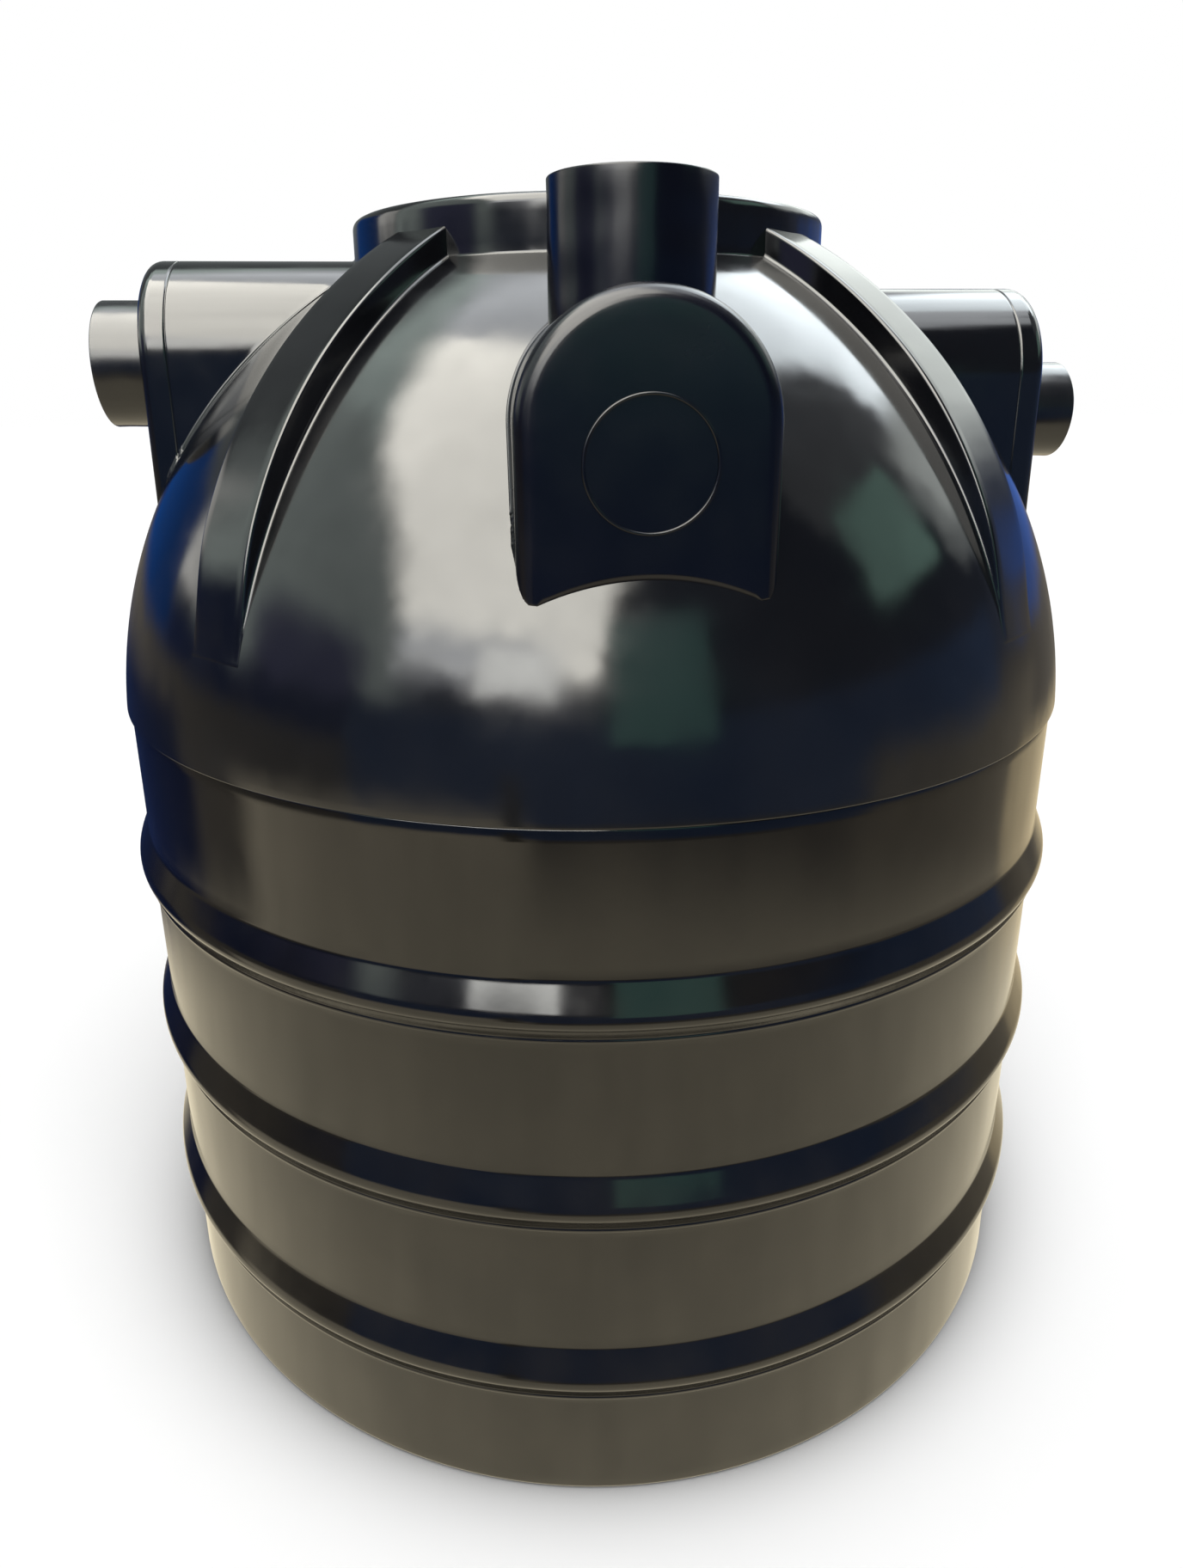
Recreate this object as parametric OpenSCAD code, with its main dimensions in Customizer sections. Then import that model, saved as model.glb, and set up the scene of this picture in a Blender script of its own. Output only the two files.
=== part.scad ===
// Small domed septic tank of black polyethylene.
// A ribbed round body carries a half-ball dome with a manhole neck,
// three arched hoods, three pipe stubs and four stiffening fins.
// Units: mm. Floor at z = 0, tank axis on z. Inlet -x, outlet +x, vent hood -y.

/* [Part] */
// Sub-part to draw

/* [Body] */
// Outside diameter of the round wall at the joint with the dome
shell_d = 868; // [820:2:920]
// Outside diameter at the floor
base_d = 862; // [830:2:890]
// Height of the joint between wall and dome
joint_z = 567; // [520:1:620]
// Depth of the dome's centre below the joint
dome_low = 26; // [10:1:40]
// How far the dome's lower edge stands out over the wall
dome_lap = 3.5; // [1:0.5:4]
// Height of the plain shoulder belt between the joint and the hoods
shoulder_h = 90; // [60:1:94]
// Thickness of the moulded wall, dome and fins
wall_t = 7; // [5.5:0.5:9]
// Thickness of the bottom
base_t = 8; // [6:0.5:12]
// Rounding under the bottom edge
foot_r = 5; // [2:0.5:5.5]

/* [Ribs] */
// Height of the lowest rib's lower edge
rib_first_z = 99; // [70:1:120]
// Height from one rib to the next
rib_pitch = 156.5; // [130:0.5:175]
// Height of a rib
rib_h = 46; // [36:1:56]
// How far a rib stands out of the wall
rib_out = 10; // [6:0.5:13]
// Height of a rib's roundest line above its lower edge
rib_crown = 17; // [14:0.5:20]
// Radius of a rib's round
rib_r = 8; // [4:0.5:9]
// Height of the bead along a rib's lower edge
bead_h = 3; // [2:0.5:4]
// How far the bead stands out of the wall
bead_out = 5; // [3:0.5:5.5]

/* [Neck] */
// Outside diameter of the manhole neck
neck_d = 420; // [370:2:460]
// Height of the neck's rim above its foot on the dome
neck_h = 42; // [34:1:80]
// Width of the neck's rim
rim_w = 16; // [13:1:22]
// Outer rounding of the rim
rim_r = 11; // [6:0.5:12]
// Width of the ledge that carries the lid
ledge_w = 14; // [8:1:20]
// Depth of the lid's seat below the rim
lid_drop = 18; // [13:1:22]
// Thickness of the lid
lid_t = 10; // [8:0.5:12]
// Rounding of the lid's upper edge
lid_r = 3; // [1:0.5:4]
// Gap round the lid
lid_gap = 2; // [1:0.5:4]

/* [Hoods] */
// Outside width of each hood
hood_w = 165; // [150:1:180]
// Thickness of the hoods' walls
hood_t = 6; // [5:0.5:7.5]
// Depth of the end cap on each hood
cap_depth = 25; // [16:1:32]
// Rounding round each end cap's face
cap_r = 12; // [9:1:14]
// Width and depth of the groove at each joint line
groove = 1.5; // [0.5:0.5:2]
// How far the inlet cap's face stays inside the dome's widest radius
inlet_in = 50; // [40:1:62]
// Depth of the inlet hood's ridge below the dome's crown
inlet_low = 41; // [36:1:70]
// How far the outlet cap's face stays inside the dome's widest radius
outlet_in = 27; // [20:1:44]
// Depth of the outlet hood's ridge below the dome's crown
outlet_low = 64; // [50:1:80]
// How far the vent cap's face stays inside the dome's widest radius
vent_in = 37; // [26:1:46]
// Depth of the vent hood's ridge below the dome's crown
vent_low = 89; // [76:1:100]

/* [Pipes] */
// Outside diameter of the inlet pipe
inlet_d = 110; // [90:1:125]
// Length of the inlet pipe outside its hood
inlet_len = 47; // [30:1:90]
// Drop of the inlet pipe below the middle of the arch
inlet_drop = 5; // [0:1:16]
// Outside diameter of the outlet pipe
outlet_d = 90; // [75:1:110]
// Length of the outlet pipe outside its hood
outlet_len = 51; // [30:1:90]
// Drop of the outlet pipe below the middle of the arch
outlet_drop = 30; // [10:1:44]
// Outside diameter of the vent pipe
vent_d = 110; // [90:1:114]
// Distance of the vent pipe's middle behind the vent cap's face
vent_back = 95; // [86:1:104]
// Height of the vent pipe's top above its hood's ridge
vent_len = 68; // [40:1:120]
// Wall thickness of the pipes
pipe_t = 4.5; // [3:0.5:6]
// Length of each pipe inside its hood
pipe_in = 14; // [8:1:20]
// How much smaller in radius a pipe is where it passes through its hood
pipe_seat = 1; // [0.8:0.1:1.5]

/* [Fins] */
// Angle of each fin from the line through the vent hood
fin_angle = 43.5; // [38:0.5:52]
// Width of a fin
fin_w = 56; // [44:1:66]
// How far a fin stands out of the dome
fin_out = 18; // [12:0.5:22]
// Angle above the dome's centre where a fin starts to run out
fin_turn = 46; // [40:1:54]
// Angle above the dome's centre where a fin ends
fin_end = 14; // [12:1:24]
// Angle over which the lower tip of a fin is solid
fin_tip = 8; // [4:1:12]

/* [Emblem] */
// Diameter of the plain raised ring on the vent cap
ring_d = 85; // [60:1:100]
// Width of the ring's line
ring_w = 2.4; // [1.6:0.2:4]
// Height of the ring's line
ring_h = 1.2; // [0.8:0.2:2]
// Drop of the ring's centre below the middle of the arch
ring_drop = 21; // [14:1:30]

/* [Hidden] */
$fn = 96;
shell_r = shell_d / 2;
base_r = base_d / 2;
neck_r = neck_d / 2;
mouth_r = neck_r - rim_w;
// the dome's ball: its radius, centre and crown
dome_r = sqrt(pow(shell_r + dome_lap, 2) + pow(dome_low, 2));
dome_z = joint_z - dome_low;
rim_z = dome_z + ball_z(neck_r) + neck_h;
lid_z = rim_z - lid_drop;
// reach of each cap's face from the axis and height of each arch's middle above the dome's centre
inlet_reach = dome_r - inlet_in;
outlet_reach = dome_r - outlet_in;
vent_reach = dome_r - vent_in;
inlet_mid = dome_r - inlet_low - hood_w / 2;
outlet_mid = dome_r - outlet_low - hood_w / 2;
vent_mid = dome_r - vent_low - hood_w / 2;
// the vent pipe: its place, and the height where its full size ends just above dome and hood
vent_pos = vent_reach - vent_back;
vent_foot = max(ball_z(vent_pos - vent_d / 2), dome_r - vent_low) + pipe_seat;
// the dome's cut-outs start here, clear of the neck's foot
slot_r = neck_r + wall_t;
plastic = [0.06, 0.065, 0.075];
satin = [0.05, 0.055, 0.08];
grey = [0.12, 0.12, 0.13];

// ---- round body ----

// outside radius of the tapered wall at height z
function wall_r(z) = base_r + (shell_r - base_r) * z / joint_z;

// height of the dome's outside above its centre at radius r
function ball_z(r) = sqrt(dome_r * dome_r - r * r);

// lower edge of rib i
function rib_z(i) = rib_first_z + i * rib_pitch;

// outside line of a rib from its lower edge z0 to its top: bead, round, hollow slope
function rib_line(z0) = let (
    turn = 30,
    mid_r = wall_r(z0) + rib_out - rib_r,
    top_r = mid_r + rib_r * cos(turn) - wall_r(z0),
    top_z = rib_crown + rib_r * sin(turn)) [
    [wall_r(z0), z0],
    [wall_r(z0) + bead_out - 1, z0],
    [wall_r(z0) + bead_out, z0 + 0.8],
    [wall_r(z0) + bead_out, z0 + bead_h - 0.8],
    [wall_r(z0) + bead_out - 1, z0 + bead_h],
    [wall_r(z0) + bead_out - 1, z0 + bead_h + 1.5],
    for (a = [-60:15:turn]) [mid_r + rib_r * cos(a), z0 + rib_crown + rib_r * sin(a)],
    for (k = [1:7])
        let (u = 1 - k / 8, z = z0 + top_z + (rib_h - top_z) * k / 8)
            [wall_r(z) + top_r * pow(u, 1.6), z],
    [wall_r(z0 + rib_h), z0 + rib_h]];

// band of wall between two heights, with the upper outer edge chamfered by e
module wall_band(z0, z1, e = 0)
    rotate_extrude()
        polygon([[wall_r(z0) - wall_t, z0], [wall_r(z0), z0], [wall_r(z1 - e), z1 - e],
                 [wall_r(z1) - e, z1], [wall_r(z1) - wall_t, z1]]);

// rib ring: the wall bulges outward at one thickness
module rib_ring(z0)
    rotate_extrude() {
        line = rib_line(z0);
        n = len(line) - 1;
        polygon([for (p = line) p, for (i = [n:-1:0]) [line[i][0] - wall_t, line[i][1]]]);
    }

module base_plate()
    color(plastic)
        rotate_extrude()
            union() {
                square([base_r - foot_r, base_t]);
                translate([0, foot_r]) square([wall_r(base_t), base_t - foot_r]);
                translate([base_r - foot_r, foot_r])
                    intersection() {
                        circle(r = foot_r);
                        translate([0, -foot_r]) square([foot_r, foot_r]);
                    }
            }

module skirt() color(plastic) wall_band(base_t, rib_z(0));
module rib_lower() color(plastic) rib_ring(rib_z(0));
module band_lower() color(plastic) wall_band(rib_z(0) + rib_h, rib_z(1));
module rib_middle() color(plastic) rib_ring(rib_z(1));
module band_middle() color(plastic) wall_band(rib_z(1) + rib_h, rib_z(2));
module rib_upper() color(plastic) rib_ring(rib_z(2));
module band_upper() color(plastic) wall_band(rib_z(2) + rib_h, joint_z, groove);

// ---- dome ----

// what follows stands on the dome's centre
module at_dome() translate([0, 0, dome_z]) children();

// solid upper half of the dome's ball
module half_ball()
    rotate_extrude($fn = 360)
        intersection() {
            circle(r = dome_r, $fn = 360);
            square([dome_r, dome_r]);
        }

// solid inside of the neck and all that is above and below it
module neck_plug() cylinder(r = neck_r, h = shell_d);

// shell of the dome's ball between two heights above its centre
module ball_shell(low, high)
    rotate_extrude($fn = 360)
        difference() {
            intersection() {
                circle(r = dome_r, $fn = 360);
                translate([0, low]) square([dome_r, high - low]);
            }
            circle(r = dome_r - wall_t, $fn = 360);
        }

module shoulder() color(plastic) at_dome() ball_shell(dome_low, dome_low + shoulder_h);

module dome()
    color(plastic)
        at_dome()
            difference() {
                ball_shell(dome_low + shoulder_h, dome_r);
                cylinder(r = mouth_r, h = shell_d);
                inlet_side() tunnel(slot_r, inlet_reach, inlet_mid);
                outlet_side() tunnel(slot_r, outlet_reach, outlet_mid);
                vent_side() tunnel(slot_r, vent_reach, vent_mid);
                vent_hole();
                for (a = fin_turns) rotate([0, 0, a]) fin_core();
            }

// ---- neck and lid ----

module neck()
    color(plastic)
        difference() {
            rotate_extrude()
                union() {
                    translate([mouth_r, rim_z - neck_h - foot_r]) square([rim_w, neck_h + foot_r - rim_r]);
                    translate([mouth_r, rim_z - rim_r - 1]) square([rim_w - rim_r, rim_r + 1]);
                    translate([neck_r - rim_r, rim_z - rim_r])
                        intersection() {
                            circle(r = rim_r);
                            square([rim_r, rim_r]);
                        }
                    translate([mouth_r - ledge_w, lid_z - wall_t]) square([ledge_w + 1, wall_t]);
                }
            at_dome() half_ball();
        }

module manhole_lid() {
    lid_edge = mouth_r - lid_gap;
    color(plastic)
        translate([0, 0, lid_z])
            rotate_extrude()
                union() {
                    square([lid_edge, lid_t - lid_r]);
                    square([lid_edge - lid_r, lid_t]);
                    translate([lid_edge - lid_r, lid_t - lid_r]) circle(r = lid_r);
                }
}

// ---- hoods: built along -x, with z measured from the dome's centre ----

module inlet_side() children();
module outlet_side() rotate([0, 0, 180]) children();
module vent_side() rotate([0, 0, 90]) children();

// arched block from reach a to reach b, half width r, the arch's middle at height mid
module arch(a, b, r, mid) {
    translate([-b, 0, mid]) rotate([0, 90, 0]) cylinder(r = r, h = b - a);
    translate([-b, -r, dome_low]) cube([b - a, 2 * r, mid - dome_low]);
}

// half of the soft block's plan, from its middle line out to r, reach a to b along y
module soft_plan(a, b, r, e) {
    translate([0, a]) square([r, b - e - a]);
    translate([0, a]) square([r - e, b - a]);
    translate([r - e, b - e]) circle(r = e, $fn = 48);
}

// arched block down to height low, whose outer face at reach b has a rounded edge of radius e
module soft_arch(a, b, r, mid, low, e) {
    translate([0, 0, mid])
        rotate([90, 0, -90])
            rotate_extrude(angle = 180) soft_plan(a, b, r, e);
    translate([0, 0, low])
        rotate([0, 0, 90])
            linear_extrude(height = mid - low)
                union() {
                    soft_plan(a, b, r, e);
                    mirror([1, 0]) soft_plan(a, b, r, e);
                }
}

// open inside of a hood from reach a outward
module tunnel(a, reach, mid)
    soft_arch(a, reach - hood_t, hood_w / 2 - hood_t, mid, 0, cap_r - hood_t);

// the hoods have no floor: their walls run down into the dome
module hood_walls(reach, mid)
    difference() {
        children();
        tunnel(0, reach, mid);
        half_ball();
        neck_plug();
    }

module hood_body(reach, mid)
    hood_walls(reach, mid)
        union() {
            arch(0, reach - cap_depth - groove, hood_w / 2, mid);
            arch(0, reach - cap_depth, hood_w / 2 - groove, mid);
        }

module hood_cap(reach, mid)
    hood_walls(reach, mid)
        soft_arch(reach - cap_depth, reach, hood_w / 2, mid, dome_low, cap_r);

// hole through a cap for a side pipe of diameter d
module side_hole(reach, mid, d)
    translate([-reach - 1, 0, mid])
        rotate([0, 90, 0]) cylinder(r = d / 2 - pipe_seat, h = cap_depth);

module vent_hole()
    translate([0, -vent_pos, 0]) cylinder(r = vent_d / 2 - pipe_seat, h = shell_d);

module inlet_hood() color(plastic) at_dome() inlet_side() hood_body(inlet_reach, inlet_mid);
module inlet_cap()
    color(plastic)
        at_dome()
            inlet_side()
                difference() {
                    hood_cap(inlet_reach, inlet_mid);
                    side_hole(inlet_reach, inlet_mid - inlet_drop, inlet_d);
                }

module outlet_hood() color(plastic) at_dome() outlet_side() hood_body(outlet_reach, outlet_mid);
module outlet_cap()
    color(plastic)
        at_dome()
            outlet_side()
                difference() {
                    hood_cap(outlet_reach, outlet_mid);
                    side_hole(outlet_reach, outlet_mid - outlet_drop, outlet_d);
                }

module vent_hood()
    color(satin)
        at_dome()
            difference() {
                vent_side() hood_body(vent_reach, vent_mid);
                vent_hole();
            }
module vent_cap() color(satin) at_dome() vent_side() hood_cap(vent_reach, vent_mid);

// ---- pipes ----

// open pipe standing on z = 0: full size above, slightly slimmer for the depth below
module tube(d, h, depth)
    difference() {
        union() {
            cylinder(d = d, h = h);
            translate([0, 0, -depth]) cylinder(r = d / 2 - pipe_seat, h = depth + 1);
        }
        translate([0, 0, -depth - 1]) cylinder(d = d - 2 * pipe_t, h = h + depth + 2);
    }

module side_pipe(reach, mid, len, d)
    translate([-reach, 0, mid]) rotate([0, -90, 0]) tube(d, len, pipe_in + hood_t);

module inlet_pipe()
    color(grey) at_dome() inlet_side() side_pipe(inlet_reach, inlet_mid - inlet_drop, inlet_len, inlet_d);
module outlet_pipe()
    color(grey) at_dome() outlet_side() side_pipe(outlet_reach, outlet_mid - outlet_drop, outlet_len, outlet_d);
module vent_pipe()
    color(satin)
        at_dome()
            translate([0, -vent_pos, vent_foot])
                tube(vent_d, dome_r - vent_low + vent_len - vent_foot, vent_foot - vent_mid + pipe_in);

// ---- fins ----

// turn of each fin about the tank axis: front left, front right, back left, back right
fin_turns = [-90 - fin_angle, -90 + fin_angle, 90 + fin_angle, 90 - fin_angle];

// outline of a fin in its own upright plane, out = how far it stands out; the arc turns
// inward below fin_turn so that it runs into the dome at the angle last
module fin_shape(out, last) {
    far = dome_r + out;
    // radius of the run-out arc, tangent to the main arc and through the fin's lower end
    d = fin_turn - last;
    run = far - (far * far - dome_r * dome_r) / (2 * (far - dome_r * cos(d)));
    lean = far - run;
    union() {
        intersection() {
            circle(r = far, $fn = 192);
            polygon([[0, 0], 2 * far * [cos(fin_turn), sin(fin_turn)], [2 * far, 2 * far], [0, 2 * far]]);
        }
        intersection() {
            translate(lean * [cos(fin_turn), sin(fin_turn)]) circle(r = run, $fn = 192);
            polygon([[0, 0], [2 * far, 0], 2 * far * [cos(fin_turn), sin(fin_turn)]]);
        }
    }
}

// upright slab of the fin's outline along +x, width w, from radius x0 outward
module fin_slab(out, w, x0, last)
    rotate([90, 0, 0])
        linear_extrude(height = w, center = true)
            intersection() {
                fin_shape(out, last);
                translate([x0, dome_low]) square([shell_d, shell_d]);
            }

// open channel inside a fin, which also slots the dome behind it
module fin_core() fin_slab(fin_out - wall_t, fin_w - 2 * wall_t, slot_r, fin_end + fin_tip);

module fin(turn)
    color(plastic)
        at_dome()
            rotate([0, 0, turn])
                difference() {
                    fin_slab(fin_out, fin_w, 0, fin_end);
                    half_ball();
                    neck_plug();
                    fin_core();
                }

module fin_front_left() fin(fin_turns[0]);
module fin_front_right() fin(fin_turns[1]);
module fin_back_left() fin(fin_turns[2]);
module fin_back_right() fin(fin_turns[3]);

// ---- emblem ----

module emblem_ring()
    color(satin)
        at_dome()
            translate([0, -vent_reach, vent_mid - ring_drop])
                rotate([90, 0, 0])
                    difference() {
                        cylinder(d = ring_d, h = ring_h);
                        translate([0, 0, -1]) cylinder(d = ring_d - 2 * ring_w, h = ring_h + 2);
                    }

base_plate();
skirt();
rib_lower();
band_lower();
rib_middle();
band_middle();
rib_upper();
band_upper();
shoulder();
dome();
neck();
manhole_lid();
inlet_hood();
inlet_cap();
inlet_pipe();
outlet_hood();
outlet_cap();
outlet_pipe();
vent_hood();
vent_cap();
vent_pipe();
fin_front_left();
fin_front_right();
fin_back_left();
fin_back_right();
emblem_ring();
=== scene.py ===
"""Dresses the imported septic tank: smooth moulded surfaces, plastic finishes, light, camera."""

import logging
from collections.abc import Callable
from dataclasses import dataclass, field
from enum import Enum
from math import acos, asin, cos, hypot, radians, sin
from typing import Any

import bmesh
import bpy
import numpy as np
from mathutils import Matrix, Vector
from numpy.typing import NDArray

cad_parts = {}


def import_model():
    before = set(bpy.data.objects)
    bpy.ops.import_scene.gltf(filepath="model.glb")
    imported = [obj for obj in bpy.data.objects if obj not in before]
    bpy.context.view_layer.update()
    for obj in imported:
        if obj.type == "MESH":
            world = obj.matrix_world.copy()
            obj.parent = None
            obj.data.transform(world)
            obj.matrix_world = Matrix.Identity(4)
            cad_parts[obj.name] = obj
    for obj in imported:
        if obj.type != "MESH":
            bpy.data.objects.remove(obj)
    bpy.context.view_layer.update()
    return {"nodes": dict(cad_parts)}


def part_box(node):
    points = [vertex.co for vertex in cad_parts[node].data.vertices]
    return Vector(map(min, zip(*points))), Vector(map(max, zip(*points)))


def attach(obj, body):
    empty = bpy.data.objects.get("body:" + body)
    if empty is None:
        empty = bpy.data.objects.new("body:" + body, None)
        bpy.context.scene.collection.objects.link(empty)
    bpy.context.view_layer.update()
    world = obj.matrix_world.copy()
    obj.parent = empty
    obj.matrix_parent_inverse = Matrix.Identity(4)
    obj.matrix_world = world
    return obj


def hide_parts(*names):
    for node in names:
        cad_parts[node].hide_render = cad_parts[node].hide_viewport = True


LOG = logging.getLogger("septic_tank")
MM = 0.001
# two points closer than this are one, in metres
WELD = 2e-6
# how far the turned surfaces stay inside the solids' outside, in mm
SKIN = 0.05
# how far each fin is turned from the front or the back, in degrees
FIN_TURN = 43.5

Array = NDArray[np.float64]
Values = Array | float
Mask = NDArray[np.bool_]
Colour = tuple[float, float, float, float]
Line = list[tuple[float, float]]
Ripple = Callable[[Array, Array], Array]
Material = bpy.types.Material
Object = bpy.types.Object
Socket = bpy.types.NodeSocket
Tree = bpy.types.NodeTree


class Side(Enum):
    """The three sides of the dome that carry a hood, as headings in degrees from +X."""

    INLET = 180.0
    OUTLET = 0.0
    VENT = -90.0


class Slot(Enum):
    """The record's material slots."""

    SHELL = "shell"
    HOOD = "hood"
    PIPE = "pipe"


def box_mm(node: str) -> tuple[Array, Array]:
    """Returns the lowest and the highest corner of a node's box, in mm."""
    low, high = (np.array(corner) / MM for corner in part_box(node))
    return low, high


def add_object(name: str, data: bpy.types.ID) -> Object:
    """Links a new object with the given mesh, light or camera to the scene and returns it."""
    made = bpy.data.objects.new(name, data)
    bpy.context.scene.collection.objects.link(made)
    return made


# ---- colours and nodes


def empty_tree(owner: Material | bpy.types.World) -> Tree:
    """Turns on the nodes of a material or world, clears them and returns their tree."""
    owner.use_nodes = True
    owner.node_tree.nodes.clear()
    return owner.node_tree


def linear(code: str) -> Colour:
    """Turns an sRGB hex colour into linear light.

    Args:
        code: Six hex digits, such as "1b1c20".

    Returns:
        Red, green, blue and a full alpha, all linear.
    """
    parts = [int(code[i : i + 2], 16) / 255 for i in (0, 2, 4)]
    light = [p / 12.92 if p <= 0.04045 else ((p + 0.055) / 1.055) ** 2.4 for p in parts]
    return (light[0], light[1], light[2], 1.0)


def add_node(
    tree: Tree, kind: str, settings: dict[str, Any] | None = None, **inputs: Any
) -> bpy.types.Node:
    """Adds a node, sets its options and fills or links its sockets.

    Args:
        tree: The node tree that gets the node.
        kind: The node's type name after "ShaderNode".
        settings: Properties of the node itself, such as its operation.
        **inputs: A value or an output socket for each input, keyed by the socket's name with
            spaces as underscores, or by i and its number.

    Returns:
        The new node.
    """
    made = tree.nodes.new("ShaderNode" + kind)
    for key, value in (settings or {}).items():
        setattr(made, key, value)
    for key, value in inputs.items():
        if key[0] == "i" and key[1:].isdigit():
            socket = made.inputs[int(key[1:])]
        else:
            socket = made.inputs[key.replace("_", " ")]
        if isinstance(value, Socket):
            tree.links.new(value, socket)
        else:
            socket.default_value = value
    return made


def calc(tree: Tree, operation: str, *values: Socket | float) -> Socket:
    """Adds a Math node and returns its result."""
    given = {f"i{i}": v for i, v in enumerate(values)}
    return add_node(tree, "Math", {"operation": operation}, **given).outputs[0]


def ramp(
    tree: Tree, value: Socket, low: float, high: float, out_low: float = 0.0, out_high: float = 1.0
) -> Socket:
    """Eases a value from one range to another with soft ends.

    Args:
        tree: The node tree.
        value: The socket to read.
        low: Where the result is out_low.
        high: Where the result is out_high.
        out_low: The result at low.
        out_high: The result at high.

    Returns:
        The eased value's socket.
    """
    made = add_node(tree, "MapRange", {"interpolation_type": "SMOOTHSTEP"}, Value=value,
                    From_Min=low, From_Max=high, To_Min=out_low, To_Max=out_high)
    return made.outputs[0]


def blend_colour(
    tree: Tree, share: Socket, first: Socket | Colour, second: Socket | Colour
) -> Socket:
    """Mixes two colours by a share of the second and returns the result."""
    return add_node(tree, "Mix", {"data_type": "RGBA"}, i0=share, i6=first, i7=second).outputs[2]


# ---- finishes


@dataclass(frozen=True)
class MouldedPlastic:
    """Moulded polyethylene: black pigment in the mass, a skin as smooth as its mould.

    The mould's polish sets the gloss, and slow waves in the wall bend what it mirrors. A thin film
    of yard dust warms the black. It is thicker near the floor, where its brown tint is also a
    painted reflection of the brown ground.
    """

    name: str
    body: str = "0d0e11"
    cloud: str = "16171a"
    dust_and_reflection: str = "3b352a"
    dust_and_reflection_share: float = 0.10
    dust_and_reflection_below: float = 0.62
    gloss_low: float = 0.09
    gloss_high: float = 0.17
    cloud_mm: float = 150.0
    patch_mm: float = 70.0
    haze_mm: float = 40.0
    peel_mm: float = 9.0
    peel_depth_mm: float = 0.010
    wave_mm: float = 130.0
    wave_depth_mm: float = 0.35
    ior: float = 1.5

    def make(self) -> Material:
        """Builds the material.

        Returns:
            The finished node material.
        """
        material = bpy.data.materials.new(self.name)
        tree = empty_tree(material)
        place = add_node(tree, "TexCoord").outputs["Object"]
        # the pigment is cloudy, in patches wider than a hand
        clouds = ramp(tree, self._noise(tree, place, self.cloud_mm, 3.0), 0.35, 0.75)
        body = blend_colour(tree, clouds, linear(self.body), linear(self.cloud))
        # dust lies in smaller patches, thicker towards the floor, where the brown is also a
        # painted reflection of the ground
        patches = ramp(tree, self._noise(tree, place, self.patch_mm, 5.0), 0.3, 0.8)
        height = add_node(tree, "SeparateXYZ", Vector=place).outputs["Z"]
        low_dust_and_reflection = ramp(tree, height, self.dust_and_reflection_below, 0.0, 0.35, 1.0)
        share = calc(tree, "MULTIPLY", calc(tree, "MULTIPLY", patches, low_dust_and_reflection), self.dust_and_reflection_share)
        colour = blend_colour(tree, share, body, linear(self.dust_and_reflection))
        # handling haze: the skin is duller in soft spots
        haze = self._noise(tree, place, self.haze_mm, 4.0)
        rough = ramp(tree, haze, 0.3, 0.75, self.gloss_low, self.gloss_high)
        # orange peel of the moulded skin over slow waves of the wall
        peel = self._noise(tree, place, self.peel_mm, 1.0)
        wave = self._noise(tree, place, self.wave_mm, 0.0)
        slow = add_node(tree, "Bump", Strength=1.0, Distance=self.wave_depth_mm * MM, Height=wave)
        fine = add_node(tree, "Bump", Strength=1.0, Distance=self.peel_depth_mm * MM, Height=peel,
                        Normal=slow.outputs[0])
        shader = add_node(tree, "BsdfPrincipled", Base_Color=colour, Roughness=rough,
                          IOR=self.ior, Normal=fine.outputs[0])
        add_node(tree, "OutputMaterial", Surface=shader.outputs[0])
        return material

    @staticmethod
    def _noise(tree: Tree, place: Socket, size_mm: float, detail: float) -> Socket:
        """Adds noise whose features are about size_mm across and returns its value."""
        scale = 1 / (size_mm * MM)
        return add_node(tree, "TexNoise", Vector=place, Scale=scale, Detail=detail).outputs[0]


@dataclass(frozen=True)
class PaleFloor:
    """A plain matt floor, pale enough to fade into the background.

    The contact shade round the tank's foot is drawn in its colour: outside a circle of radius
    foot_r, the share of the dull colour is exp(-d / reach) at a distance d, all in metres.
    """

    name: str = "Matt white studio floor"
    tint: str = "f4f4f4"
    dull: str = "0c0c0e"
    foot_r: float = 0.41
    reach: float = 0.034
    lift: float = 0.1

    def make(self) -> Material:
        """Builds the floor's material and returns it."""
        material = bpy.data.materials.new(self.name)
        tree = empty_tree(material)
        spot = add_node(tree, "TexCoord").outputs["Object"]
        length = add_node(tree, "VectorMath", {"operation": "LENGTH"}, i0=spot)
        past = calc(tree, "SUBTRACT", length.outputs["Value"], self.foot_r)
        past = calc(tree, "MAXIMUM", past, 0.0)
        near = calc(tree, "EXPONENT", calc(tree, "MULTIPLY", past, -1.0 / self.reach))
        # the broad light alone leaves the contact shade too faint, so the floor carries it
        colour = blend_colour(tree, near, linear(self.tint), linear(self.dull))
        matt = add_node(tree, "BsdfDiffuse", Color=colour)
        # a faint glow of its own burns the open floor out to white and leaves the shade dark
        glow = add_node(tree, "Emission", Color=colour, Strength=self.lift)
        both = add_node(tree, "AddShader", i0=matt.outputs[0], i1=glow.outputs[0])
        add_node(tree, "OutputMaterial", Surface=both.outputs[0])
        return material


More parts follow.
